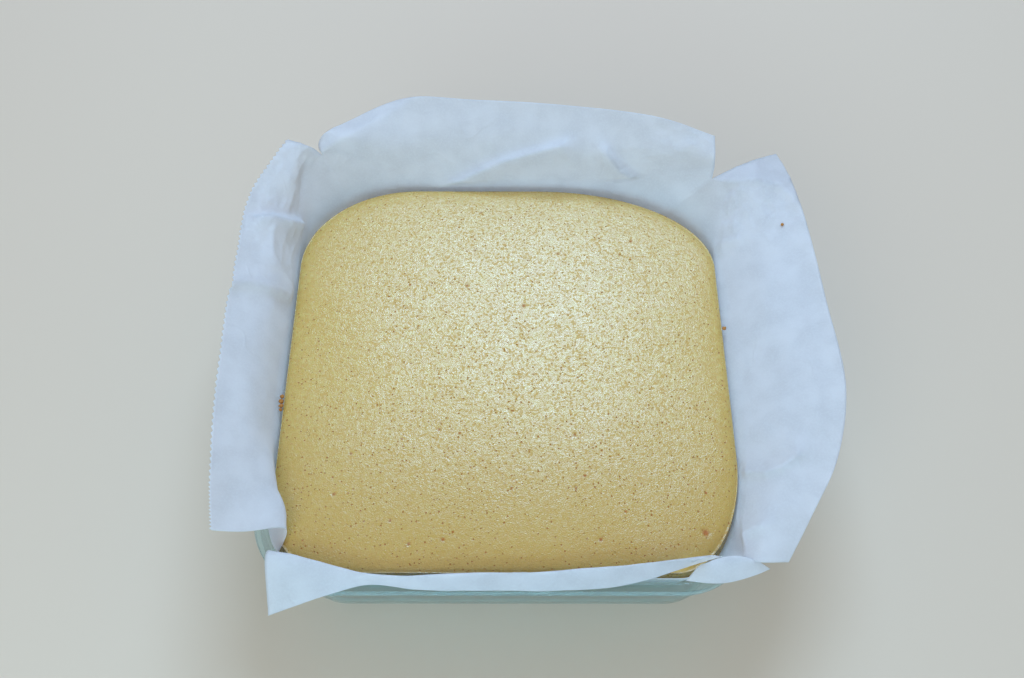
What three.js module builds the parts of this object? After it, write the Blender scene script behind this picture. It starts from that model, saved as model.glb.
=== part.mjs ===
// A square castella sponge cake, uncut, in the glass dish it was baked in, which is lined with
// baking paper. Millimetres, +Z up, front towards -Y, origin at the centre of the dish's base.
import * as THREE from "three";

// Outline of every level: a square with rounded corners, counter-clockwise from above.
// Corners in order: front left, front right, back right, back left.
const CORNER_SEGMENTS = [10, 20, 10, 10];
const SIDE_SEGMENTS = 14;

// Glass dish
const RIM_HALF = 100; // half the dish's width over its rim
const RIM_CORNER = 32;
const RIM_TOP = 52;
const RIM_WIDTH = 4.6;
const RIM_EASE = 1.4; // rounding of the rim's inner edge
const LIP_HEIGHT = 4.4; // upright outer face of the rim
const LIP_STEP = 1.8; // how far the wall stands back under the lip
const BASE_HALF = 90.4;
const BASE_CORNER = 23.4;
const FLOOR_TOP = 5;
const INNER_FOOT_HALF = 86; // inside of the wall where it leaves the floor's fillet
const INNER_FOOT_Z = 12;
const INNER_FILLET = [[9, 0], [4.4, 0.9], [1.3, 3.3]]; // steps in from that foot, and up from the floor

// Baking paper and cake, each inside the one before with a little air between them
const AIR_GAP = 0.35;
const CORNER_SHRINK_AT_FLOOR = 10;
const LINING_FILLET = [[12, 0], [5.6, 0.7], [2, 3.9]]; // as INNER_FILLET, but wider
const LINING_HEIGHTS = [15, 33, 49];

// Baking paper
const PAPER_THICKNESS = 0.5;
const PAPER_RIM_HALF = 94.3;
// The paper cuts across the dish's tighter corners and keeps close to the cake.
const PAPER_CORNERS = [both(27), [27, 46], [76, 42], [50, 41]];
const FLAP_ROWS = 6;
const TOOTH_DEPTH = 0.6; // saw-tooth edge left by the cutter of the paper roll

// Cake: each corner has a radius along X and one along Y, and the back right one is the widest
const CAKE_TOP = 61.3; // middle of the domed top
const CAKE_CORNERS = [both(27.5), [27, 48], [78, 43], [50, 42]];
// Rings of the domed top from its middle outwards: half width, height, and how much rounder than
// the cake's outline their corners are.
const CROWN = [
  [16, 61.1, -26],
  [34, 60.7, -16],
  [52, 60, -4],
  [66, 59, 4],
  [77, 57.9, 8],
  [84.5, 56.9, 8],
  [89.2, 56, 6],
  [92.3, 54.8, 3],
  [93.2, 53.4, 1],
  [93.1, 52.2, 0.5],
];
const CROWN_DEPTH = 0.985; // the domed top is a little shorter than it is wide
const CROWN_SHIFT = [0.8, -0.7]; // and stands off the centre

// Where the paper is slit: place along the rim line, and the point where the slit ends.
const SLIT_FRONT_LEFT = 5;
const SLIT_TONGUE = 23;
const SLIT_CUFF = 29;
const SLIT_FRONT_RIGHT = 34;
const SLIT_BACK_RIGHT = 63;
const SLIT_BACK_LEFT = 86;
const RIM_LINE_Z = 52;
const SLIT_ENDS = [
  { at: SLIT_FRONT_LEFT, point: [-87.8, -85, 53], reach: 3 },
  { at: SLIT_FRONT_RIGHT, point: [90.8, -87.2, 57], reach: 5 },
  { at: SLIT_BACK_RIGHT, point: [94.1, 87, 69], reach: 5 },
  { at: SLIT_BACK_LEFT, point: [-84.5, 97, 73], reach: 6 },
];

// The five flaps above the rim. Each runs along the rim line from one slit to the next and is
// shaped by curves that lie further and further out, the last of them its free edge.
const FLAPS = [
  {
    // front: stands up beside the cake and folds down over the rim, wide at its left end
    from: SLIT_FRONT_LEFT,
    to: SLIT_TONGUE,
    curves: [
      [
        [-91.3, -86, 58.5],
        [-79.1, -88.6, 60.5],
        [-66.5, -92, 61],
        [-51, -95.6, 60.5],
        [-34, -96.2, 61],
        [-16, -95.4, 61],
        [2, -94.8, 61],
        [20, -94.4, 61],
        [39, -93, 61.8],
        [77, -88.7, 62.2],
      ],
      [
        [-90.9, -107, 45],
        [-78.7, -104.4, 50.5],
        [-67.2, -102.1, 55.4],
        [-51.8, -98.5, 57],
        [-34.8, -99.9, 55.3],
        [-17, -100, 54.6],
        [0, -100.1, 54.4],
        [18, -100, 54.4],
        [47.7, -97.5, 55],
        [82.4, -89.1, 61.8],
      ],
    ],
  },
  {
    // cuff: the narrow tongue beside it, bent outwards over the front right corner
    from: SLIT_CUFF,
    to: SLIT_FRONT_RIGHT,
    curves: [
      [[75.5, -90.5, 59.5], [80.6, -89.3, 61.3], [88.6, -88.4, 61.8], [95.6, -89.6, 60]],
      [[69, -96.6, 55.6], [83, -97.4, 55.6], [95.5, -94.8, 57.2], [101.2, -92.6, 58.2]],
    ],
  },
  {
    // right: the widest flap, lying lowest
    from: SLIT_FRONT_RIGHT,
    to: SLIT_BACK_RIGHT,
    belly: 4,
    waist: [-2.5, -1.4],
    curves: [
      [
        [108, -90.3, 59.5],
        [119, -72, 65],
        [130.5, -51, 68],
        [138, -21, 70],
        [136.4, 19, 70],
        [133, 58, 72],
        [126, 98.4, 76],
      ],
    ],
  },
  {
    // back: stands steepest
    from: SLIT_BACK_RIGHT,
    to: SLIT_BACK_LEFT,
    belly: 4,
    waist: [0, 3],
    curves: [
      [[93.8, 98.4, 85], [70, 108.4, 86], [25, 116, 86], [-14, 119, 86], [-50, 120, 86], [-81, 106, 83]],
    ],
  },
  {
    // left: its free edge is the saw-toothed one, and its front end leans over the cake first
    from: SLIT_BACK_LEFT,
    to: SLIT_FRONT_LEFT,
    belly: 4,
    waist: [2, -2],
    lean: { at: 0.9, spread: 0.27, depth: 11.5, rise: 2.5 },
    toothed: true,
    curves: [
      [
        [-98.2, 97.4, 84],
        [-112, 70, 80],
        [-114.6, 38, 78.5],
        [-115.2, 3, 78],
        [-113.8, -33, 78],
        [-111, -66, 78],
        [-108.5, -83.8, 76],
      ],
    ],
  },
];

const vec = ([x, y, z]) => new THREE.Vector3(x, y, z);

// A corner's two radii when it is a true arc.
function both(radius) {
  return [radius, radius];
}

// All corners rounder by the same amount, up to a largest radius.
function rounder(corners, by, most = Infinity) {
  return corners.map((radii) => radii.map((radius) => Math.min(radius + by, most)));
}

// One level of an outline: the points of a square with rounded corners at height z.
function level(half, corners, z) {
  const points = [];
  corners.forEach(([radiusX, radiusY], c) => {
    const start = Math.PI + (c * Math.PI) / 2;
    const sideX = c === 1 || c === 2 ? 1 : -1;
    const sideY = c > 1 ? 1 : -1;
    for (let k = 0; k <= CORNER_SEGMENTS[c]; k++) {
      const angle = start + ((Math.PI / 2) * k) / CORNER_SEGMENTS[c];
      const x = sideX * (half - radiusX) + radiusX * Math.cos(angle);
      const y = sideY * (half - radiusY) + radiusY * Math.sin(angle);
      points.push(new THREE.Vector3(x, y, z));
    }
  });
  return withSides(points);
}

// Adds the points along the four straight sides between the corner arcs.
function withSides(arcs) {
  const ring = [];
  let read = 0;
  CORNER_SEGMENTS.forEach((segments) => {
    const arc = arcs.slice(read, read + segments + 1);
    read += segments + 1;
    const next = arcs[read % arcs.length];
    ring.push(...arc);
    for (let k = 1; k < SIDE_SEGMENTS; k++) {
      ring.push(arc[segments].clone().lerp(next, k / SIDE_SEGMENTS));
    }
  });
  return ring;
}

// Triangle mesh under construction.
class Surface {
  constructor() {
    this.points = [];
    this.triangles = [];
  }

  add(points) {
    const first = this.points.length;
    this.points.push(...points);
    return points.map((_, k) => first + k);
  }

  // Joins two rows of equal length; a closed pair also joins last to first.
  join(inner, outer, closed) {
    const steps = closed ? inner.length : inner.length - 1;
    for (let k = 0; k < steps; k++) {
      const n = (k + 1) % inner.length;
      this.triangles.push([inner[k], outer[k], outer[n]], [inner[k], outer[n], inner[n]]);
    }
  }

  fan(centre, ring, facing) {
    ring.forEach((a, k) => {
      const b = ring[(k + 1) % ring.length];
      this.triangles.push(facing > 0 ? [centre, a, b] : [centre, b, a]);
    });
  }

  geometry() {
    const geometry = new THREE.BufferGeometry();
    const flat = this.points.flatMap((p) => [p.x, p.y, p.z]);
    geometry.setAttribute("position", new THREE.Float32BufferAttribute(flat, 3));
    geometry.setIndex(this.triangles.flat());
    geometry.computeVertexNormals();
    return geometry;
  }
}

// Closed body through a list of levels, from its inner or upper middle out and round to its base.
function loft(startZ, levels, endZ) {
  const surface = new Surface();
  const [start] = surface.add([new THREE.Vector3(0, 0, startZ)]);
  const rings = levels.map((ring) => surface.add(ring));
  surface.fan(start, rings[0], 1);
  for (let k = 1; k < rings.length; k++) surface.join(rings[k - 1], rings[k], true);
  const [end] = surface.add([new THREE.Vector3(0, 0, endZ)]);
  surface.fan(end, rings[rings.length - 1], -1);
  return surface.geometry();
}

// Gives an open sheet its thickness, on the side away from the cake.
function thicken(sheet, thickness) {
  const normals = sheet.geometry().getAttribute("normal");
  const count = sheet.points.length;
  const body = new Surface();
  body.add(sheet.points);
  body.add(
    sheet.points.map((p, k) =>
      p.clone().addScaledVector(new THREE.Vector3().fromBufferAttribute(normals, k), -thickness),
    ),
  );
  const edges = new Set();
  sheet.triangles.forEach(([a, b, c]) => {
    body.triangles.push([a, b, c], [count + a, count + c, count + b]);
    [[a, b], [b, c], [c, a]].forEach(([from, to]) => edges.add(from + ">" + to));
  });
  edges.forEach((edge) => {
    const [a, b] = edge.split(">").map(Number);
    if (edges.has(b + ">" + a)) return;
    body.triangles.push([b, a, count + a], [b, count + a, count + b]);
  });
  return body.geometry();
}

// How far the inside of the glass wall runs outwards for each millimetre that it rises.
const INNER_TOP_HALF = RIM_HALF - RIM_WIDTH;
const WALL_SLOPE = (INNER_TOP_HALF - INNER_FOOT_HALF) / (RIM_TOP - RIM_EASE - INNER_FOOT_Z);

// Half width of the glass on the inside of its wall at height z.
function glassInside(z) {
  return INNER_FOOT_HALF + WALL_SLOPE * (z - INNER_FOOT_Z);
}

function glassDish() {
  const inside = (half, z) => level(half, Array(4).fill(both(RIM_CORNER - (RIM_HALF - half))), z);
  const outside = (half, z) => {
    const t = (half - BASE_HALF) / (RIM_HALF - BASE_HALF);
    return level(half, Array(4).fill(both(THREE.MathUtils.lerp(BASE_CORNER, RIM_CORNER, t))), z);
  };
  const under = RIM_TOP - LIP_HEIGHT;
  return loft(
    FLOOR_TOP,
    [
      ...INNER_FILLET.map(([back, up]) => inside(INNER_FOOT_HALF - back, FLOOR_TOP + up)),
      inside(INNER_FOOT_HALF, INNER_FOOT_Z),
      inside(INNER_TOP_HALF, RIM_TOP - RIM_EASE),
      inside(INNER_TOP_HALF + 0.4, RIM_TOP - 0.4),
      inside(INNER_TOP_HALF + RIM_EASE, RIM_TOP),
      outside(RIM_HALF - 1.2, RIM_TOP),
      outside(RIM_HALF - 0.3, RIM_TOP - 0.4),
      outside(RIM_HALF, RIM_TOP - 1.2),
      outside(RIM_HALF, under + 0.4),
      outside(RIM_HALF - 0.5, under - 0.2),
      outside(RIM_HALF - LIP_STEP, under - 0.9),
      outside(BASE_HALF, 3),
      outside(BASE_HALF - 0.8, 0.9),
      outside(BASE_HALF - 2.6, 0),
    ],
    0,
  );
}

// Levels that the lining and the cake share below the rim; inset is the distance from the glass.
function lining(inset, rimCorners) {
  const corners = (z) => {
    const down = Math.min(1, (RIM_LINE_Z - z) / (RIM_LINE_Z - FLOOR_TOP));
    return rounder(rimCorners, -CORNER_SHRINK_AT_FLOOR * down);
  };
  const floor = FLOOR_TOP + inset;
  const insetAcross = inset * Math.hypot(1, WALL_SLOPE);
  return [
    ...LINING_FILLET.map(([back, up]) => {
      const half = INNER_FOOT_HALF - back - (up > 1 ? inset : 0);
      return level(half, corners(floor), floor + up);
    }),
    ...LINING_HEIGHTS.map((z) => level(glassInside(z) - insetAcross, corners(z), z)),
  ];
}

// Top edge of the lining: level with the rim, and lifted to the end of each slit.
function rimLine() {
  const ring = level(PAPER_RIM_HALF, PAPER_CORNERS, RIM_LINE_Z);
  SLIT_ENDS.forEach(({ at, point, reach }) => {
    const shift = vec(point).sub(ring[at]);
    for (let k = -reach; k <= reach; k++) {
      const share = 0.5 + 0.5 * Math.cos((Math.PI * k) / (reach + 1));
      const index = (at + k + ring.length) % ring.length;
      ring[index].addScaledVector(shift, share * share);
    }
  });
  return ring;
}

// The curve halfway out along a flap that has only its free edge given: it bellies upwards and
// back at 45 degrees, and the waist shifts its two ends along the flap.
function middleCurve(roots, tips, belly, waist = [0, 0]) {
  return roots.map((root, k) => {
    const u = k / (roots.length - 1);
    const middle = root.clone().lerp(tips[k], 0.5);
    const out = tips[k].clone().sub(root).setZ(0).normalize();
    middle.addScaledVector(out, -belly * Math.SQRT1_2);
    middle.z += belly * Math.SQRT1_2;
    const along = roots[roots.length - 1].clone().sub(roots[0]).setZ(0).normalize();
    return middle.addScaledVector(along, waist[0] * (1 - u) ** 6 + waist[1] * u ** 6);
  });
}

// Saw teeth along a free edge, two to each step of the last row.
function addTeeth(sheet, inner, edge) {
  for (let k = 0; k + 1 < edge.length; k++) {
    const a = sheet.points[edge[k]];
    const b = sheet.points[edge[k + 1]];
    const out = a.clone().sub(sheet.points[inner[k]]).normalize().multiplyScalar(TOOTH_DEPTH);
    const [middle] = sheet.add([a.clone().lerp(b, 0.5)]);
    const [first, second] = sheet.add([0.25, 0.75].map((t) => a.clone().lerp(b, t).add(out)));
    sheet.triangles.push(
      [inner[k], middle, inner[k + 1]],
      [inner[k], edge[k], middle],
      [inner[k + 1], middle, edge[k + 1]],
      [edge[k], first, middle],
      [middle, second, edge[k + 1]],
    );
  }
}

// Leans a flap in over the cake, low down, at u along it and t of its way out.
function leanIn(point, lean, u, t) {
  if (!lean) return point;
  const along = Math.max(0, 1 - ((u - lean.at) / lean.spread) ** 2);
  const share = along * along * Math.sin(Math.PI * t ** 0.45) ** 4;
  const inwards = new THREE.Vector3(-point.x, -point.y, 0).normalize();
  point.addScaledVector(inwards, lean.depth * share);
  point.z += lean.rise * share;
  return point;
}

function addFlap(sheet, ring, { from, to, curves, belly, waist, lean, toothed }) {
  const steps = (to - from + ring.length) % ring.length;
  const roots = [];
  for (let k = 0; k <= steps; k++) roots.push(ring[(from + k) % ring.length]);
  const rootPoints = roots.map((index) => sheet.points[index]);
  const rails = curves.map((points) => {
    const spline = new THREE.CatmullRomCurve3(points.map(vec), false, "centripetal");
    return rootPoints.map((_, k) => spline.getPoint(k / steps));
  });
  if (rails.length === 1) rails.unshift(middleCurve(rootPoints, rails[0], belly, waist));
  const across = rootPoints.map(
    (root, k) => new THREE.CatmullRomCurve3([root, ...rails.map((r) => r[k])], false, "centripetal"),
  );
  let previous = roots;
  for (let row = 1; row <= FLAP_ROWS; row++) {
    const t = row / FLAP_ROWS;
    const points = across.map((curve, k) => leanIn(curve.getPoint(t), lean, k / steps, t));
    const next = sheet.add(points);
    if (toothed && row === FLAP_ROWS) addTeeth(sheet, previous, next);
    else sheet.join(previous, next, false);
    previous = next;
  }
}

function bakingPaper() {
  const sheet = new Surface();
  const inset = AIR_GAP + PAPER_THICKNESS;
  const [middle] = sheet.add([new THREE.Vector3(0, 0, FLOOR_TOP + inset)]);
  const rings = [...lining(inset, PAPER_CORNERS), rimLine()].map((ring) => sheet.add(ring));
  sheet.fan(middle, rings[0], 1);
  for (let k = 1; k < rings.length; k++) sheet.join(rings[k - 1], rings[k], true);
  const top = rings[rings.length - 1];
  FLAPS.forEach((flap) => addFlap(sheet, top, flap));
  return thicken(sheet, PAPER_THICKNESS);
}

function spongeCake() {
  const inset = 2 * AIR_GAP + PAPER_THICKNESS;
  const crown = CROWN.map(([half, z, by]) =>
    level(half, rounder(CAKE_CORNERS, by, half), z).map((point) => {
      point.x += CROWN_SHIFT[0];
      point.y = point.y * CROWN_DEPTH + CROWN_SHIFT[1];
      return point;
    }),
  );
  return loft(CAKE_TOP, [...crown, ...lining(inset, CAKE_CORNERS).reverse()], FLOOR_TOP + inset);
}

function node(name, geometry, look) {
  const mesh = new THREE.Mesh(geometry, new THREE.MeshStandardMaterial(look));
  mesh.name = name;
  mesh.position.set(0, 0, 0);
  return mesh;
}

const group = new THREE.Group();
group.add(
  node("glass_dish", glassDish(), {
    color: 0xcfe9ea,
    roughness: 0.05,
    transparent: true,
    opacity: 0.35,
  }),
  node("baking_paper", bakingPaper(), { color: 0xe6ebf0, roughness: 0.8 }),
  node("sponge_cake", spongeCake(), { color: 0xd9c27e, roughness: 0.85 }),
);

export default group;
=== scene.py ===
"""A square castella cake, uncut, in its glass dish lined with slit baking paper.

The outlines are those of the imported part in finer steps, and this script adds the creases of the
paper, the relief and pores of the cake's skin, the round edges of the glass and a few crumbs.
Lengths are millimetres, which MM turns into metres where Blender takes them. Only the floor, the
lights, the camera's near limit and the subsurface scale are given in metres.
"""

import math

import bmesh
import bpy
import numpy as np
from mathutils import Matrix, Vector, noise


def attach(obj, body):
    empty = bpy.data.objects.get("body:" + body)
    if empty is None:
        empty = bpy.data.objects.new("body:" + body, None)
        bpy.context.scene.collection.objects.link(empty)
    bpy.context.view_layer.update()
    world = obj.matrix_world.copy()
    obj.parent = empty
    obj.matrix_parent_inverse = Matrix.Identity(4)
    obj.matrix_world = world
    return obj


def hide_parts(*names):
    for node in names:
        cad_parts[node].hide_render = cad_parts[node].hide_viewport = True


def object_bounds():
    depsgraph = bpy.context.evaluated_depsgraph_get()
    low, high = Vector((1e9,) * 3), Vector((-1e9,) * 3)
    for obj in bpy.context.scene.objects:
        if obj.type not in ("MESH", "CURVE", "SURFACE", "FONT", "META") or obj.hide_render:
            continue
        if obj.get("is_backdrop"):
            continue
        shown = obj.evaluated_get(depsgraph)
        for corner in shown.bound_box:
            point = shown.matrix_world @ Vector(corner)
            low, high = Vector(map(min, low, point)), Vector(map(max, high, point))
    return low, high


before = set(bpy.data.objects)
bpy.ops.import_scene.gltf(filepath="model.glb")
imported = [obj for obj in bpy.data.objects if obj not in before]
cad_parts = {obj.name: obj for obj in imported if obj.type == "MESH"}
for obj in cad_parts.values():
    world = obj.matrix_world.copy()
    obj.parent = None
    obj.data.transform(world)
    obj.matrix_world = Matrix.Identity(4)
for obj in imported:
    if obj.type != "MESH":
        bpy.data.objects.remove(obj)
cad_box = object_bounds()

MM = 0.001

# Outline of every level: a square with rounded corners, counter-clockwise from above.
# Corners in order: front left, front right, back right, back left.
CORNER_SEGMENTS = (10, 20, 10, 10)
SIDE_SEGMENTS = 14
FINE = 6  # steps to each of those segments

# Glass dish
RIM_HALF = 100
RIM_CORNER = 32
BASE_HALF = 90.4
BASE_CORNER = 23.4
LEAST_CORNER = 2
FLOOR_TOP = 5
# Section through the wall, from the floor inside round the rim to the base outside:
# half width, height and the radius that rounds the corner there.
DISH_SECTION = [
    (60, 5, 0),
    (84.3, 5, 8),
    (95.75, 52, 1.4),
    (100, 52, 1.3),
    (100, 47.3, 0.9),
    (98.2, 46.6, 0.5),
    (89.9, 0, 3),
    (60, 0, 0),
]
DISH_FINE = 4  # steps to each segment of its outlines
EDGE_STEPS = 5  # steps round each corner of the section

# Lining and cake below the rim
AIR_GAP = 0.05  # between the paper and the cake
PAPER_INSET = 0.85  # from the glass to the inner face of the paper
INNER_FOOT_HALF = 86
INNER_FOOT_Z = 12
INNER_TOP_HALF = 95.4
INNER_TOP_Z = 50.6
WALL_SLOPE = (INNER_TOP_HALF - INNER_FOOT_HALF) / (INNER_TOP_Z - INNER_FOOT_Z)
CORNER_SHRINK_AT_FLOOR = 10
# The round foot of the wall: how far in from the wall and how far up from the floor.
LINING_FILLET = ((12, 0), (5.6, 0.7), (2, 3.9))
LINING_HEIGHTS = (15, 22, 33, 41, 49)
RIM_LINE_Z = 52

# Baking paper
PAPER_THICKNESS = 0.16
PAPER_RIM_HALF = 94.3
PAPER_CORNERS = [(27, 27), (27, 46), (76, 42), (50, 41)]  # radius along X and along Y
FLAP_ROWS = 60
TOOTH_DEPTH = 0.9
WAIST_SHARPNESS = 6  # the higher, the nearer to the flap's ends its waist stays
LEAN_SKEW = 0.45  # puts the deepest place of a lean a fifth of the way out
LEAN_SHARPNESS = 4
RIDGE_EASE = 0.3  # how soft the top of a ridge is
BACK_AND_DOWN = (0.1, 0.52, -0.85)  # the way a bent end sinks
WAVES = ((26, 0.9), (9, 0.3))  # width and height
CRUMPLE_WIDTHS = (11, 5)
NO_CRUMPLE = dict(at=0, spread=1, height=0)
SHIFT = Vector((40, 0, 0))  # sets one noise apart from another
ROOT_SHARE = 1 / 8  # of a flap's way out, in which creases grow from nothing to full

# Cake
CAKE_CORNERS = [(27.5, 27.5), (27, 48), (78, 43), (50, 42)]  # radius along X and along Y
# Rings of the domed top from its middle outwards: half width, height, and how much rounder than
# the cake's outline their corners are.
CROWN = [
    (0, 61.3, -35),
    (16, 61.1, -26),
    (34, 60.7, -16),
    (52, 60, -4),
    (66, 59, 4),
    (77, 57.9, 8),
    (84.5, 56.9, 8),
    (89.2, 56, 6),
    (92.4, 54.9, 3),
    (93.6, 53.6, 1),
    (93.7, 52.6, 0.5),
    (93.6, 51.6, 0),
]
CROWN_DEPTH = 0.985  # the domed top is a little shorter than it is wide
CROWN_SHIFT = (0.6, -0.7)  # and stands off the centre
CROWN_STEPS = 400  # steps of its profile
CAKE_CELLS = 160  # cells of the top from its middle to its edge
RELIEF = ((38, 0.35), (5, 0.05), (2.2, 0.05))  # width and height of dents and bumps
RELIEF_FADE = 6  # how far from the edge they start to flatten
PIT_DEPTH = 0.7
PIT_SLOPE = 2
PIT_REACH = 0.8  # of its radius
# Larger pits in the top: x, y and radius.
PITS = [
    (78.3, -77.3, 2.2),
    (7.8, 23.8, 1.3),
    (-17.2, 34.3, 1.1),
    (-14, 53.5, 0.8),
    (-11.8, 76.2, 0.8),
    (23.2, 51.9, 0.9),
    (51, 51.9, 0.8),
    (56.5, 60, 1.1),
    (-26.9, -35.3, 0.9),
    (-41.8, -39.2, 0.7),
    (28.2, -37.6, 0.9),
    (-62.1, -45.3, 0.9),
    (-67.7, -62.3, 1.1),
    (-44.8, -73.2, 0.9),
    (-37.2, -82.3, 1),
    (-24, -80.6, 1.2),
    (2.5, -60.3, 0.9),
    (28, -60.3, 0.8),
    (37.2, -80.5, 1.2),
]
CRUMB_ROUGHNESS = 0.5
CRUMB_LUMPS = 1.7  # lumps to a radius
# Crumbs: x, y, z and radius.
CRUMBS = [
    (-93.6, -18, 55.5, 0.8),
    (-93.9, -20, 55.2, 1),
    (-93.6, -22.2, 55.3, 0.9),
    (-93.7, -24, 55.2, 0.7),
    (94.6, 14.8, 56.5, 0.9),
    (122.6, 60.3, 70.2, 0.7),
]

# Ends of the paper's slits: place along the rim line, the point, and how far it draws the rim line.
SLIT_ENDS = (
    (5, (-87.8, -85, 53), 3),
    (34, (90.8, -87.2, 57), 5),
    (63, (94.1, 87, 69), 5),
    (86, (-84.5, 97, 73), 6),
)

# The flaps, each from one slit to the next:
# start, end: places along the rim line.
# curves: points that the sheet runs through, further and further out. The last is its free edge.
# belly: how far the middle bulges. waist: how far each end draws in.
# ridges: a line, its height and how far it reaches to its left and to its right.
# bends: a line, the slope to its left and how round the bend is.
# crumple, lean: where along the flap, how wide, and how high or how deep and how far up.
# toothed: the free edge was torn off along a saw blade.
# Lines are given as places (u along the flap, t of its way out).
FLAPS = {
    "front": dict(
        start=5,
        end=23,
        curves=[
            [
                (-91.3, -86, 58.5),
                (-79.1, -88.6, 60.5),
                (-66.5, -92, 61),
                (-51, -95.6, 60.5),
                (-34, -96.2, 61),
                (-16, -95.4, 61),
                (2, -94.8, 61),
                (20, -94.4, 61),
                (39, -93, 61.8),
                (77, -88.7, 62.2),
            ],
            [
                (-90.9, -107, 45),
                (-78.7, -104.4, 50.5),
                (-67.2, -102.1, 55.4),
                (-51.8, -98.5, 57),
                (-34.8, -99.9, 55.3),
                (-17, -100, 54.6),
                (0, -100.1, 54.4),
                (18, -100, 54.4),
                (47.7, -97.5, 55),
                (82.4, -89.1, 61.8),
            ],
        ],
    ),
    "cuff": dict(
        start=29,
        end=34,
        curves=[
            [(75.5, -90.5, 59.5), (80.6, -89.3, 61.3), (88.6, -88.4, 61.8), (95.6, -89.6, 60)],
            [(69, -96.6, 55.6), (83, -97.4, 55.6), (95.5, -94.8, 57.2), (101.2, -92.6, 58.2)],
        ],
    ),
    "right": dict(
        start=34,
        end=63,
        belly=4,
        waist=(-2.5, -1.4),
        ridges=[
            ([(0.985, 0.05), (0.974, 0.2), (0.954, 0.55), (0.93, 0.8), (0.905, 0.93)], 1.8, 7, 1.4),
            ([(0.31, 0.12), (0.295, 0.35), (0.31, 0.52), (0.345, 0.65)], 2.6, 5, 1.4),
            ([(0.03, 0.0), (0.075, 0.125), (0.103, 0.45)], 2.2, 5, 1.8),
            ([(0.862, 0.03), (0.856, 0.3)], 1.4, 1.8, 4),
            ([(0.905, 0.0), (0.89, 0.25)], 1.2, 2, 4),
            ([(0.94, 0.0), (0.95, 0.3)], 1.4, 2, 4),
        ],
        bends=[
            ([(0.985, 0.0), (0.974, 0.2), (0.954, 0.55), (0.925, 0.85), (0.87, 1.0)], 1.0, 0.6),
        ],
        crumple=dict(at=0.93, spread=0.1, height=0.8),
        curves=[
            [
                (108, -90.3, 59.5),
                (119, -72, 65),
                (130.5, -51, 68),
                (138, -21, 70),
                (136.4, 19, 70),
                (133, 58, 72),
                (126.6, 99.8, 76),
            ]
        ],
    ),
    "back": dict(
        start=63,
        end=86,
        belly=4,
        waist=(0, 3),
        ridges=[
            ([(0.703, 0.02), (0.572, 0.2), (0.471, 0.35), (0.384, 0.45), (0.319, 0.55)], 4, 1.2, 8),
            ([(0.188, 0.5), (0.13, 0.25), (0.095, 0.03)], 3.6, 1.2, 8),
        ],
        bends=[
            ([(0.99, 0.125), (0.942, 0.475), (0.906, 0.675), (0.84, 0.85), (0.75, 1.0)], 0.9, 1.2),
        ],
        crumple=dict(at=0.04, spread=0.12, height=0.6),
        curves=[
            [
                (93.8, 98.4, 85),
                (70, 108.4, 86),
                (25, 116, 86),
                (-14, 119, 86),
                (-50, 120, 86),
                (-81, 106, 83),
            ]
        ],
    ),
    "left": dict(
        start=86,
        end=111,
        belly=4,
        waist=(2, -2),
        lean=dict(at=0.9, spread=0.27, depth=11.5, rise=2.5),
        toothed=True,
        ridges=[
            ([(0.22, 0.8), (0.205, 0.7), (0.18, 0.42), (0.15, 0.05)], 4.8, 1.2, 5),
            ([(0.407, 1.0), (0.387, 0.8), (0.373, 0.55), (0.353, 0.2)], 3, 6, 1.6),
            ([(0.233, 0.62), (0.287, 0.55)], 1.2, 2, 2),
            ([(0.3, 0.5), (0.33, 0.05)], 0.8, 2, 2),
            ([(0.4, 0.4), (0.415, 0.07)], 0.5, 2, 2),
            ([(0.03, 0.45), (0.08, 0.05)], -0.9, 3, 3),
        ],
        crumple=dict(at=0.12, spread=0.2, height=0.8),
        curves=[
            [
                (-98.2, 97.4, 84),
                (-112, 70, 80),
                (-114.6, 38, 78.5),
                (-115.2, 3, 78),
                (-113.8, -33, 78),
                (-111, -66, 78),
                (-108.5, -83.8, 76),
            ]
        ],
    ),
}


# ---------------------------------------------------------------- outlines and curves
def rounder(corners, by):
    """All corners rounder by the same amount."""
    return [(radius_x + by, radius_y + by) for radius_x, radius_y in corners]


def outline(half, corners, z, fine=FINE):
    """One level: the points of a square with rounded corners at height z. Each corner has a
    radius along X and one along Y."""
    arcs = []
    for place, (radius_x, radius_y) in enumerate(corners):
        side_x = 1 if place in (1, 2) else -1
        side_y = 1 if place > 1 else -1
        steps = CORNER_SEGMENTS[place] * fine
        angles = math.pi + math.pi / 2 * (place + np.linspace(0, 1, steps + 1))
        x = side_x * (half - radius_x) + radius_x * np.cos(angles)
        y = side_y * (half - radius_y) + radius_y * np.sin(angles)
        arcs.append(np.stack([x, y, np.full_like(x, z)], axis=1))
    ring = []
    along = np.linspace(0, 1, SIDE_SEGMENTS * fine + 1)[1:-1, None]
    for place, arc in enumerate(arcs):
        following = arcs[(place + 1) % 4][0]
        ring += [arc, arc[-1] * (1 - along) + following * along]
    return np.concatenate(ring)


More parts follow.
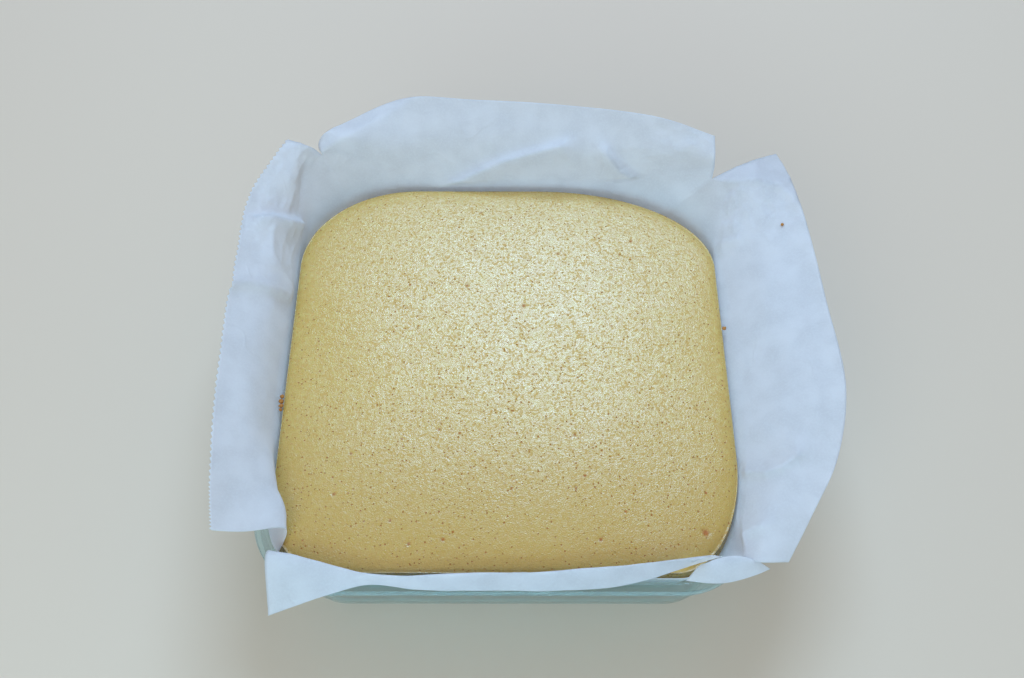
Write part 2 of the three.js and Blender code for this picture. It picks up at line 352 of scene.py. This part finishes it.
def spline(points, t):
    """Places t, from 0 to 1, along smooth curves through points[0], points[1] and so on."""
    points = np.asarray(points, float)
    t = np.asarray(t, float)
    before = 2 * points[0] - points[1]
    beyond = 2 * points[-1] - points[-2]
    padded = np.concatenate([[before], points, [beyond]])
    place = t * (len(points) - 1)
    index = np.minimum(place.astype(int), len(points) - 2)
    p0, p1, p2, p3 = (padded[index + k] for k in range(4))

    def gap(a, b):
        return np.maximum(np.sqrt(np.linalg.norm(b - a, axis=-1, keepdims=True)), 1e-3)

    d0, d1, d2 = gap(p0, p1), gap(p1, p2), gap(p2, p3)
    leave = ((p1 - p0) / d0 - (p2 - p0) / (d0 + d1)) * d1 + (p2 - p1)
    arrive = (p2 - p1) + ((p3 - p2) / d2 - (p3 - p1) / (d1 + d2)) * d1
    w = (place - index).reshape((-1,) + (1,) * (points.ndim - 1))
    return (
        (2 * w**3 - 3 * w**2 + 1) * p1
        + (w**3 - 2 * w**2 + w) * leave
        + (3 * w**2 - 2 * w**3) * p2
        + (w**3 - w**2) * arrive
    )


def grid_faces(index, closed=False):
    """Quads between the rows of an array of point numbers. Closed, the last column joins the
    first."""
    if closed:
        index = np.concatenate([index, index[:, :1]], axis=1)
    a, b = index[:-1], index[1:]
    quads = np.stack([a[:, :-1], b[:, :-1], b[:, 1:], a[:, 1:]], axis=-1)
    return quads.reshape(-1, 4).tolist()


def fan(centre, ring, turned=False):
    """Triangles between a point and a closed ring of points, all given as numbers."""
    pairs = zip(ring.tolist(), np.roll(ring, -1).tolist())
    return [(centre, b, a) if turned else (centre, a, b) for a, b in pairs]


def mesh_piece(name, points, faces, material):
    """A smooth-shaded mesh object on the part's one body, from points in millimetres."""
    mesh = bpy.data.meshes.new(name)
    mesh.from_pydata((np.asarray(points) * MM).tolist(), [], faces)
    mesh.polygons.foreach_set("use_smooth", [True] * len(mesh.polygons))
    mesh.update()
    piece = bpy.data.objects.new(name, mesh)
    bpy.context.scene.collection.objects.link(piece)
    mesh.materials.append(material)
    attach(piece, "root")
    return piece


# ---------------------------------------------------------------- materials
class Shader:
    """A material under construction: nodes, and positions measured in millimetres."""

    def __init__(self, name):
        self.material = bpy.data.materials.new(name)
        self.material.use_nodes = True
        self.tree = self.material.node_tree
        self.surface = self.tree.nodes["Principled BSDF"]
        place = self.node("ShaderNodeTexCoord").outputs["Object"]
        self.position = self.scaled(place, 1 / MM)

    def node(self, kind, inputs=None, **settings):
        """A new node; inputs holds sockets or values by the name or number of its inputs."""
        made = self.tree.nodes.new(kind)
        for key, value in settings.items():
            setattr(made, key, value)
        for key, value in (inputs or {}).items():
            self.feed(made.inputs[key], value)
        return made

    def feed(self, socket, value):
        """Link the socket to another one, or set it to a value."""
        if isinstance(value, bpy.types.NodeSocket):
            self.tree.links.new(value, socket)
        else:
            socket.default_value = value

    def scaled(self, vector, scale):
        """The vector times a number."""
        inputs = {0: vector, "Scale": scale}
        return self.node("ShaderNodeVectorMath", inputs, operation="SCALE").outputs[0]

    def math(self, operation, first, second=0.0, third=0.0, clamp=False):
        """The result of one math node."""
        inputs = {0: first, 1: second, 2: third}
        made = self.node("ShaderNodeMath", inputs, operation=operation, use_clamp=clamp)
        return made.outputs[0]

    def noise(self, size, detail=3, roughness=0.5, output="Fac"):
        """Noise whose features are about size millimetres wide, from 0 to 1."""
        inputs = {
            "Vector": self.position,
            "Scale": 1 / size,
            "Detail": detail,
            "Roughness": roughness,
        }
        return self.node("ShaderNodeTexNoise", inputs).outputs[output]

    def spread(self, value, low, high, to_low=0.0, to_high=1.0):
        """value from low to high, eased into to_low to to_high."""
        inputs = {
            "Value": value,
            "From Min": low,
            "From Max": high,
            "To Min": to_low,
            "To Max": to_high,
        }
        made = self.node("ShaderNodeMapRange", inputs, interpolation_type="SMOOTHSTEP")
        return made.outputs["Result"]

    def mix(self, factor, first, second):
        """The first colour where the factor is 0, the second where it is 1."""
        inputs = {0: factor, 6: first, 7: second}
        return self.node("ShaderNodeMix", inputs, data_type="RGBA").outputs[2]

    def bump(self, height, distance, strength=1.0):
        """Relief of the given height in millimetres where the height value is 1."""
        inputs = {"Height": height, "Distance": distance * MM, "Strength": strength}
        return self.node("ShaderNodeBump", inputs).outputs["Normal"]

    def set(self, **inputs):
        """Set or link inputs of the surface, named with _ for each space."""
        for key, value in inputs.items():
            self.feed(self.surface.inputs[key.replace("_", " ")], value)

    def let_through(self, kind, colour, share):
        """Give that share of the surface to a shader that lets light through."""
        through = self.node(kind, {"Color": colour})
        inputs = {0: share, 1: self.surface.outputs[0], 2: through.outputs[0]}
        mixed = self.node("ShaderNodeMixShader", inputs)
        self.feed(self.tree.nodes["Material Output"].inputs["Surface"], mixed.outputs[0])


def srgb(red, green, blue):
    """A linear colour from the 0 to 255 values that a screen shows."""

    def linear(value):
        value /= 255
        return value / 12.92 if value <= 0.04045 else ((value + 0.055) / 1.055) ** 2.4

    return (linear(red), linear(green), linear(blue), 1)


def pores(shader, spacing, smallest, largest, share):
    """Uneven pores scattered one to a cell of the given spacing, with the smallest and largest
    radius; share is how many cells have one. 1 in the middle of a pore and 0 outside."""
    bend_size, bend = 0.9, 0.5
    flat_share = 0.35  # of the radius, in the middle of a pore
    offset = shader.scaled(shader.noise(bend_size, 2, output="Color"), bend)
    uneven = shader.node("ShaderNodeVectorMath", {0: shader.position, 1: offset}, operation="ADD")
    cells = shader.node(
        "ShaderNodeTexVoronoi",
        {"Vector": uneven.outputs[0], "Scale": 1 / spacing, "Randomness": 1.0},
    )
    random = shader.node("ShaderNodeSeparateColor", {"Color": cells.outputs["Color"]})
    distance = shader.math("MULTIPLY", cells.outputs["Distance"], spacing)
    radius = shader.math("MULTIPLY_ADD", random.outputs["Red"], largest - smallest, smallest)
    flat = shader.math("MULTIPLY", radius, flat_share)
    inside = shader.spread(distance, flat, radius, 1, 0)
    chosen = shader.math("LESS_THAN", random.outputs["Green"], share)
    return shader.math("MULTIPLY", inside, chosen)


def cake_material():
    """Pale golden skin with fine bumps and brown pores: deeper gold and more pores towards the
    front, and on the sides a lighter gold that is painted light, making up for the shade where
    the cake meets the paper."""
    shader = Shader("castella skin")
    place = shader.node("ShaderNodeSeparateXYZ", {"Vector": shader.position})
    height, depth = place.outputs["Z"], place.outputs["Y"]
    flecks = shader.spread(shader.noise(2.2, 2), 0.35, 0.7)
    speckles = shader.spread(shader.noise(1.1, 2, 0.6), 0.5, 0.62, 0, 0.8)
    # The sides below the crown's edge: a lighter gold that is painted light, making up for the
    # shade between the cake and the paper.
    side_start, side_full = 54, 50
    sides_painted_lighter = shader.spread(height, side_start, side_full)
    front_start, front_full = 0, -85
    front = shader.spread(depth, front_start, front_full, 0, 0.7)
    gold = shader.mix(shader.noise(28, 3), srgb(191, 156, 66), srgb(197, 164, 76))
    gold = shader.mix(flecks, gold, srgb(201, 175, 90))
    gold = shader.mix(speckles, gold, srgb(190, 148, 55))
    gold = shader.mix(sides_painted_lighter, gold, srgb(236, 188, 100))
    gold = shader.mix(front, gold, srgb(178, 139, 47))
    few_at, many_at = 60, -50
    crowded = shader.spread(depth, few_at, many_at, 0.4, 0.95)
    small = pores(shader, 1.7, 0.2, 0.48, crowded)
    large = pores(shader, 8, 0.4, 0.85, 0.4)
    hollow = shader.math("MAXIMUM", small, large)
    pit = shader.node("ShaderNodeAttribute", attribute_name="pit").outputs["Fac"]
    hollow = shader.math("MAXIMUM", hollow, pit, clamp=True)
    dull = shader.spread(shader.noise(6, 3), 0.2, 0.8, 0.26, 0.36)
    dull_speckles, dull_hollow, hollow_depth = 0.5, 0.5, 1.6
    dull = shader.math("MULTIPLY_ADD", speckles, dull_speckles, dull)
    dull = shader.math("MULTIPLY_ADD", hollow, dull_hollow, dull)
    grain = shader.math("ADD", shader.noise(1.3, 3, 0.6), shader.noise(0.5, 2))
    grain = shader.math("SUBTRACT", grain, shader.math("MULTIPLY", hollow, hollow_depth))
    shader.set(
        Base_Color=shader.mix(hollow, gold, srgb(170, 94, 0)),
        Roughness=dull,
        Normal=shader.bump(grain, 0.16),
        IOR=1.6,
        Specular_IOR_Level=1.0,
        Subsurface_Weight=0.04,
        Subsurface_Scale=0.002,
    )
    return shader.material


def crumb_material():
    """Browned crumbs."""
    shader = Shader("browned crumb")
    shader.set(
        Base_Color=shader.mix(shader.noise(1.2, 3), srgb(150, 88, 34), srgb(196, 138, 66)),
        Roughness=0.8,
        Normal=shader.bump(shader.noise(0.5, 3), 0.2),
    )
    return shader.material


def paper_material():
    """Bluish white baking paper: matt, translucent, faintly mottled with its fibres, and with
    faint creases in places."""
    shader = Shader("baking paper")
    fibres = shader.noise(0.9, 4, 0.7)
    cloud = shader.noise(9, 3)
    from_crease = shader.math("ABSOLUTE", shader.math("SUBTRACT", shader.noise(13, 1), 0.5))
    crease_width, crease_height = 0.05, 2.2
    creases = shader.spread(from_crease, 0, crease_width, crease_height, 0)
    creased_here = shader.spread(shader.noise(32, 1), 0.42, 0.62)
    relief = shader.math("MULTIPLY_ADD", creases, creased_here, shader.math("ADD", fibres, cloud))
    tone = shader.mix(shader.spread(cloud, 0.3, 0.7), srgb(218, 219, 224), srgb(233, 234, 239))
    tone = shader.mix(shader.spread(fibres, 0.4, 0.7, 0, 0.6), tone, srgb(240, 244, 248))
    shader.set(
        Base_Color=tone,
        Roughness=0.5,
        Normal=shader.bump(relief, 0.1, 0.6),
    )
    shader.let_through("ShaderNodeBsdfTranslucent", srgb(240, 242, 247), 0.58)
    return shader.material


def glass_material():
    """Clear pressed glass with a blue-green cast and a slightly wavy surface."""
    shader = Shader("dish glass")
    shader.set(
        Base_Color=srgb(210, 247, 253),
        Roughness=0.02,
        IOR=1.5,
        Transmission_Weight=0.82,
        Normal=shader.bump(shader.noise(18, 1), 0.15, 0.4),
    )
    shader.let_through("ShaderNodeBsdfTransparent", srgb(247, 254, 255), 0.6)
    return shader.material


def floor_material():
    """Plain pale floor."""
    shader = Shader("pale floor")
    shader.set(Base_Color=srgb(206, 190, 172), Roughness=0.7)
    return shader.material


# ---------------------------------------------------------------- glass dish
def round_section(section):
    """The section's points with its corners rounded."""
    path = np.array([(half, z) for half, z, _ in section], float)
    rounded = [path[0]]
    for k in range(1, len(path) - 1):
        before, corner, after = path[k - 1], path[k], path[k + 1]
        radius = section[k][2]
        way_in = (before - corner) / np.linalg.norm(before - corner)
        way_out = (after - corner) / np.linalg.norm(after - corner)
        angle = math.acos(np.clip(way_in @ way_out, -1, 1))
        reach = radius / math.tan(angle / 2)
        for t in np.linspace(0, 1, EDGE_STEPS + 1):
            bend = (1 - t) ** 2 * way_in + t**2 * way_out
            rounded.append(corner + reach * bend)
    rounded.append(path[-1])
    return np.array(rounded)


def dish_piece(material):
    """The glass dish: outlines at each point of its section, and a fan for its floor and base."""
    section = round_section(DISH_SECTION)
    outside_from = int(np.argmax(section[:, 0]))
    rings = []
    for k, (half, z) in enumerate(section):
        share = (half - BASE_HALF) / (RIM_HALF - BASE_HALF)
        outer = BASE_CORNER + (RIM_CORNER - BASE_CORNER) * share
        inner = RIM_CORNER - (RIM_HALF - half)
        corner = max(outer if k > outside_from else inner, LEAST_CORNER)
        rings.append(outline(half, [(corner, corner)] * 4, z, DISH_FINE))
    count = len(rings[0])
    points = np.concatenate(rings + [[[0, 0, FLOOR_TOP]], [[0, 0, 0]]])
    index = np.arange(len(rings) * count).reshape(len(rings), count)
    faces = grid_faces(index, closed=True)
    faces += fan(index.size, index[0])
    faces += fan(index.size + 1, index[-1], turned=True)
    return mesh_piece("dish", points, faces, material)


# ---------------------------------------------------------------- lining and flaps
def lining(inset, corners, level):
    """Levels of the lining or the cake below the rim, from the floor up. inset is the distance
    from the glass, and level makes the points of one level."""
    levels = []
    foot_corners = rounder(corners, -CORNER_SHRINK_AT_FLOOR)
    for back, up in LINING_FILLET:
        beside_wall = up > 1
        half = INNER_FOOT_HALF - back - (inset if beside_wall else 0)
        levels.append(level(half, foot_corners, FLOOR_TOP + inset + up))
    across = inset * math.hypot(1, WALL_SLOPE)
    for z in LINING_HEIGHTS:
        half = INNER_FOOT_HALF + WALL_SLOPE * (z - INNER_FOOT_Z) - across
        down = min(1, (RIM_LINE_Z - z) / (RIM_LINE_Z - FLOOR_TOP))
        levels.append(level(half, rounder(corners, -CORNER_SHRINK_AT_FLOOR * down), z))
    return levels


def rim_line():
    """Top edge of the lining: level with the rim, and lifted to the end of each slit."""
    ring = outline(PAPER_RIM_HALF, PAPER_CORNERS, RIM_LINE_Z)
    around = sum(CORNER_SEGMENTS) + 4 * SIDE_SEGMENTS
    places = np.arange(len(ring)) / FINE
    for at, point, reach in SLIT_ENDS:
        away = (places - at + around / 2) % around - around / 2
        near = np.clip(away / (reach + 1), -1, 1)
        share = 0.5 + 0.5 * np.cos(math.pi * near)
        ring = ring + share[:, None] ** 2 * (np.array(point) - ring[at * FINE])
    return ring


def middle_curve(roots, tips, belly, waist):
    """The curve halfway out along a flap that has only its free edge given."""
    u = np.linspace(0, 1, len(roots))[:, None]
    out = (tips - roots) * (1, 1, 0)
    out /= np.linalg.norm(out, axis=1, keepdims=True)
    along = (roots[-1] - roots[0]) * (1, 1, 0)
    along /= np.linalg.norm(along)
    up_and_in = math.sqrt(0.5) * ((0, 0, 1) - out)
    near_ends = waist[0] * (1 - u) ** WAIST_SHARPNESS + waist[1] * u**WAIST_SHARPNESS
    return (roots + tips) / 2 + belly * up_and_in + along * near_ends


def facing(sheet):
    """The direction each point of a sheet faces, towards the cake."""
    normal = np.cross(np.gradient(sheet, axis=0), np.gradient(sheet, axis=1))
    return normal / np.linalg.norm(normal, axis=-1, keepdims=True).clip(1e-9)


def beside(sheet, line):
    """Distance of each point of a sheet from a line on it, and its side: 1 to the line's left,
    -1 to its right and in between past the line's ends."""
    rows, columns = sheet.shape[:2]
    corners = [at_place(sheet, t * (rows - 1), u * (columns - 1)) for u, t in line]
    normal = facing(sheet)
    distance = np.full((rows, columns), np.inf)
    side = np.zeros((rows, columns))
    for a, b in zip(corners[:-1], corners[1:]):
        along = b - a
        share = np.clip((sheet - a) @ along / (along @ along), 0, 1)
        away = sheet - a - share[..., None] * along
        gap = np.linalg.norm(away, axis=-1)
        sine = (np.cross(along, away) * normal).sum(axis=-1)
        sine /= (np.linalg.norm(along) * gap).clip(1e-9)
        side = np.where(gap < distance, sine, side)
        distance = np.minimum(gap, distance)
    return distance, np.clip(side, -1, 1)


def at_place(sheet, row, column):
    """The sheet's point at a row and column that may lie between its own."""
    r, c = min(int(row), len(sheet) - 2), min(int(column), sheet.shape[1] - 2)
    down, over = row - r, column - c
    near = sheet[r, c] * (1 - over) + sheet[r, c + 1] * over
    far = sheet[r + 1, c] * (1 - over) + sheet[r + 1, c + 1] * over
    return near * (1 - down) + far * down


def creased(sheet, ridges, bends, crumple):
    """The sheet with sharp ridges, crumpled paper near a corner and slight waves, and with what
    lies to the left of its bends sinking back and down from there on."""
    height = np.zeros(sheet.shape[:2])
    for line, rise, left_reach, right_reach in ridges:
        distance, side = beside(sheet, line)
        reach = right_reach + (left_reach - right_reach) * (1 + side) / 2
        height += rise * np.exp(RIDGE_EASE - np.hypot(distance / reach, RIDGE_EASE))
    rows, columns = sheet.shape[:2]
    u = np.linspace(0, 1, columns)
    near = np.exp(-(((u - crumple["at"]) / crumple["spread"]) ** 2)) * crumple["height"]
    for row in range(rows):
        for column in range(columns):
            place = Vector(sheet[row, column])
            waves = sum(noise.noise(place / width) * rise for width, rise in WAVES)
            large = abs(noise.noise(place / CRUMPLE_WIDTHS[0]))
            small = abs(noise.noise(place / CRUMPLE_WIDTHS[1] + SHIFT))
            folds = 0.5 - 2 * large - small
            height[row, column] += waves + near[column] * folds
    free = np.minimum(1, np.linspace(0, 1, rows) / ROOT_SHARE)[:, None]
    shift = facing(sheet) * height[..., None]
    for line, slope, roundness in bends:
        distance, side = beside(sheet, line)
        past = distance * side
        sunk = slope * (np.hypot(past, roundness) + past - roundness) / 2
        shift = shift + np.array(BACK_AND_DOWN) * sunk[..., None]
    return sheet + shift * free[..., None]


def flap_sheet(
    ring,
    start,
    end,
    curves,
    belly=0,
    waist=(0, 0),
    lean=None,
    toothed=False,
    ridges=(),
    bends=(),
    crumple=NO_CRUMPLE,
):
    """Rows of points of one flap, from the rim line out to its free edge."""
    columns = np.arange(start * FINE, end * FINE + 1) % len(ring)
    roots = ring[columns]
    u = np.linspace(0, 1, len(columns))
    rails = [spline(points, u) for points in curves]
    if len(rails) == 1:
        rails.insert(0, middle_curve(roots, rails[0], belly, waist))
    t = np.linspace(0, 1, FLAP_ROWS + 1)
    sheet = spline(np.stack([roots, *rails]), t)
    if lean:
        near = np.clip(1 - ((u - lean["at"]) / lean["spread"]) ** 2, 0, None)
        share = near**2 * (np.sin(math.pi * t**LEAN_SKEW) ** LEAN_SHARPNESS)[:, None]
        inwards = -sheet * (1, 1, 0)
        inwards /= np.linalg.norm(inwards, axis=-1, keepdims=True)
        sheet = sheet + (inwards * lean["depth"] + (0, 0, lean["rise"])) * share[..., None]
    sheet = creased(sheet, ridges, bends, crumple)
    if toothed:
        out = sheet[-1] - sheet[-2]
        out /= np.linalg.norm(out, axis=1, keepdims=True)
        sheet[-1, 1::2] += TOOTH_DEPTH * out[1::2]
    return columns, sheet


def paper_piece(material):
    """The paper: a fan for its floor, the levels of the lining, and the flaps on its rim line."""
    levels = lining(PAPER_INSET, PAPER_CORNERS, outline) + [rim_line()]
    count = len(levels[0])
    points = [np.array([[0, 0, FLOOR_TOP + PAPER_INSET]])] + levels
    index = 1 + np.arange(len(levels) * count).reshape(len(levels), count)
    faces = grid_faces(index, closed=True) + fan(0, index[0])
    used = 1 + index.size
    for shape in FLAPS.values():
        columns, sheet = flap_sheet(levels[-1], **shape)
        rows, width = sheet.shape[:2]
        own = used + np.arange((rows - 1) * width).reshape(rows - 1, width)
        faces += grid_faces(np.concatenate([index[-1][columns][None], own]))
        points.append(sheet[1:].reshape(-1, 3))
        used += own.size
    piece = mesh_piece("paper", np.concatenate(points), faces, material)
    thickness = piece.modifiers.new("thickness", "SOLIDIFY")
    thickness.thickness = PAPER_THICKNESS * MM
    thickness.offset = -1
    return piece


# ---------------------------------------------------------------- cake
def square_directions(cells):
    """Directions from the middle to the border of a square grid, and how far out each point is."""
    steps = np.arange(-cells, cells + 1) / cells
    y, x = np.meshgrid(steps, steps, indexing="ij")
    out = np.maximum(np.abs(x), np.abs(y))
    scale = np.where(out > 0, out, 1)
    return x / scale, y / scale, out


def outline_scale(x, y, half, corners):
    """How far along the directions x, y the outline of that half width lies. corners holds the
    X and the Y radii of the four corners, for each direction."""
    place = np.where(y > 0, np.where(x > 0, 2, 3), np.where(x > 0, 1, 0))[..., None]
    radius_x, radius_y = (np.take_along_axis(radii, place, -1)[..., 0] for radii in corners)
    dx, dy = np.abs(x), np.abs(y)
    straight = half / np.maximum(dx, dy).clip(1e-9)
    middle_x, middle_y = half - radius_x, half - radius_y
    a = (dx / radius_x) ** 2 + (dy / radius_y) ** 2
    b = dx * middle_x / radius_x**2 + dy * middle_y / radius_y**2
    c = (middle_x / radius_x) ** 2 + (middle_y / radius_y) ** 2 - 1
    arc = (b + np.sqrt(np.clip(b * b - a * c, 0, None))) / np.maximum(a, 1e-12)
    in_corner = (dx * straight > middle_x) & (dy * straight > middle_y)
    return np.where(in_corner, arc, straight)


def relief(top):
    """Height of the skin's dents and fine bumps above the smooth dome."""
    height = np.zeros(top.shape[:2])
    for row in range(top.shape[0]):
        for column in range(top.shape[1]):
            place = Vector(top[row, column])
            height[row, column] = sum(rise * noise.noise(place / width) for width, rise in RELIEF)
    return height


def crumb_piece(material):
    """Browned crumbs lying where the cake meets the paper, and one on the right flap."""
    points, faces = [], []
    for x, y, z, radius in CRUMBS:
        made = bmesh.new()
        bmesh.ops.create_icosphere(made, subdivisions=2, radius=radius)
        first = len(points)
        for vertex in made.verts:
            lump = noise.noise(vertex.co * CRUMB_LUMPS / radius + Vector((x, y, z)))
            points.append(Vector((x, y, z)) + vertex.co * (1 + CRUMB_ROUGHNESS * lump))
        faces += [[first + vertex.index for vertex in face.verts] for face in made.faces]
        made.free()
    return mesh_piece("crumbs", points, faces, material)


def crown(x, y, out):
    """The cake's domed top for those directions, and how deep in a pit each point is, 0 to 1."""
    profile = spline(CROWN, np.linspace(0, 1, CROWN_STEPS))
    edge_half = CROWN[-1][0]
    half = out * edge_half
    z = np.interp(half, profile[:, 0], profile[:, 1])
    by = np.interp(half, profile[:, 0], profile[:, 2])
    radii = np.array(CAKE_CORNERS, float).T[:, None, None, :] + by[..., None]
    least = 1e-3
    scale = outline_scale(x, y, half, np.clip(radii, least, np.maximum(half, least)[..., None]))
    top = np.stack([x * scale, y * scale * CROWN_DEPTH, z], axis=-1) + (*CROWN_SHIFT, 0)
    pit = np.zeros(half.shape)
    for pit_x, pit_y, radius in PITS:
        away = np.hypot(top[..., 0] - pit_x, top[..., 1] - pit_y)
        pit = np.maximum(pit, np.clip(PIT_SLOPE * (PIT_REACH - away / radius), 0, 1))
    inner = np.clip((edge_half - half) / RELIEF_FADE, 0, 1)
    top[..., 2] += relief(top) * inner - PIT_DEPTH * pit
    return top, pit


def cake_piece(material):
    """The cake: its top, the levels of its wall below the rim, and a fan for its floor."""
    x, y, out = square_directions(CAKE_CELLS)
    top, pit = crown(x, y, out)
    size = 2 * CAKE_CELLS + 1
    index = np.arange(size * size).reshape(size, size)
    faces = grid_faces(index)
    border = np.concatenate([index[0, :-1], index[:-1, -1], index[-1, :0:-1], index[:0:-1, 0]])
    border_x, border_y = x.flat[border], y.flat[border]
    rings = [border]
    points = [top.reshape(-1, 3)]

    def level(half, corners, z):
        count = len(border)
        radii = np.broadcast_to(np.array(corners, float).T[:, None, :], (2, count, 4))
        scale = outline_scale(border_x, border_y, half, radii)
        return np.stack([border_x * scale, border_y * scale, np.full(count, z)], axis=-1)

    used = size * size
    for ring in reversed(lining(PAPER_INSET + AIR_GAP, CAKE_CORNERS, level)):
        rings.append(used + np.arange(len(border)))
        points.append(ring)
        used += len(border)
    faces += grid_faces(np.array(rings), closed=True)
    faces += fan(used, rings[-1], turned=True)
    points.append([[0, 0, FLOOR_TOP + PAPER_INSET + AIR_GAP]])
    piece = mesh_piece("cake", np.concatenate(points), faces, material)
    values = np.zeros(len(piece.data.vertices), np.float32)
    values[: pit.size] = pit.ravel()
    attribute = piece.data.attributes.new("pit", "FLOAT", "POINT")
    attribute.data.foreach_set("value", values)
    return piece


# ---------------------------------------------------------------- stage, camera and light
CAMERA_AT = (2.92, -214.8, 445.2)
CAMERA_DOWN = 60.03  # degrees below the horizontal
CAMERA_TURN = 0.07  # degrees to the left
FOCAL_PIXELS = 1041
PICTURE_WIDTH = 1024
SENSOR = 36
NEAREST = 0.01  # m
FLOOR_SIZE = 6  # m
# Soft lights: name, place and target in metres, width and height in metres, watts and colour.
LIGHTS = [
    ("window", (0.08, 0.74, 1.1), (0, 0, 0.05), (0.66, 0.54), 13.2, (0.465, 0.71, 1.0)),
    ("side", (-0.65, -1.1, 1.1), (0, 0, 0.05), (1.0, 1.0), 4.4, (1.0, 0.89, 0.78)),
    ("front", (-0.15, -0.75, 0.32), (0, -0.1, 0.05), (0.8, 0.4), 4.2, (0.42, 0.8, 1.0)),
]
STUDIO_COLOUR = (0.94, 0.96, 1.0, 1)
STUDIO_STRENGTH = 0.49


def make_stage():
    """The plain floor under the dish."""
    bpy.ops.mesh.primitive_plane_add(size=FLOOR_SIZE)
    floor = bpy.context.object
    floor.name = "floor"
    floor.data.materials.append(floor_material())
    floor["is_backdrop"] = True


def make_camera():
    """The photo's camera, as solved from the rim and the wall of the dish."""
    data = bpy.data.cameras.new("camera")
    data.sensor_width = SENSOR
    data.lens = SENSOR * FOCAL_PIXELS / PICTURE_WIDTH
    data.clip_start = NEAREST
    camera = bpy.data.objects.new("camera", data)
    camera.location = Vector(CAMERA_AT) * MM
    camera.rotation_euler = (math.radians(90 - CAMERA_DOWN), 0, math.radians(CAMERA_TURN))
    bpy.context.scene.collection.objects.link(camera)
    bpy.context.scene.camera = camera


def area_light(name, place, target, size, power, colour):
    """A rectangular light that faces a target."""
    data = bpy.data.lights.new(name, "AREA")
    data.shape = "RECTANGLE"
    data.size, data.size_y = size
    data.energy = power
    data.color = colour
    light = bpy.data.objects.new(name, data)
    light.location = place
    way = Vector(target) - Vector(place)
    light.rotation_euler = way.to_track_quat("-Z", "Y").to_euler()
    bpy.context.scene.collection.objects.link(light)


def make_lights():
    """Soft studio light from three sides and a little from all round."""
    for light in LIGHTS:
        area_light(*light)
    world = bpy.data.worlds.new("studio")
    world.use_nodes = True
    background = world.node_tree.nodes["Background"]
    background.inputs["Color"].default_value = STUDIO_COLOUR
    background.inputs["Strength"].default_value = STUDIO_STRENGTH
    bpy.context.scene.world = world
    bpy.context.scene.view_settings.view_transform = "Standard"


make_camera()
dish = dish_piece(glass_material())
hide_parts("glass_dish")
paper = paper_piece(paper_material())
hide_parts("baking_paper")
cake = cake_piece(cake_material())
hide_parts("sponge_cake")
crumb_piece(crumb_material())
make_stage()
make_lights()

boxes = {"cad": cad_box, "visual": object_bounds()}
{name: [list(corner) for corner in box] for name, box in boxes.items()}
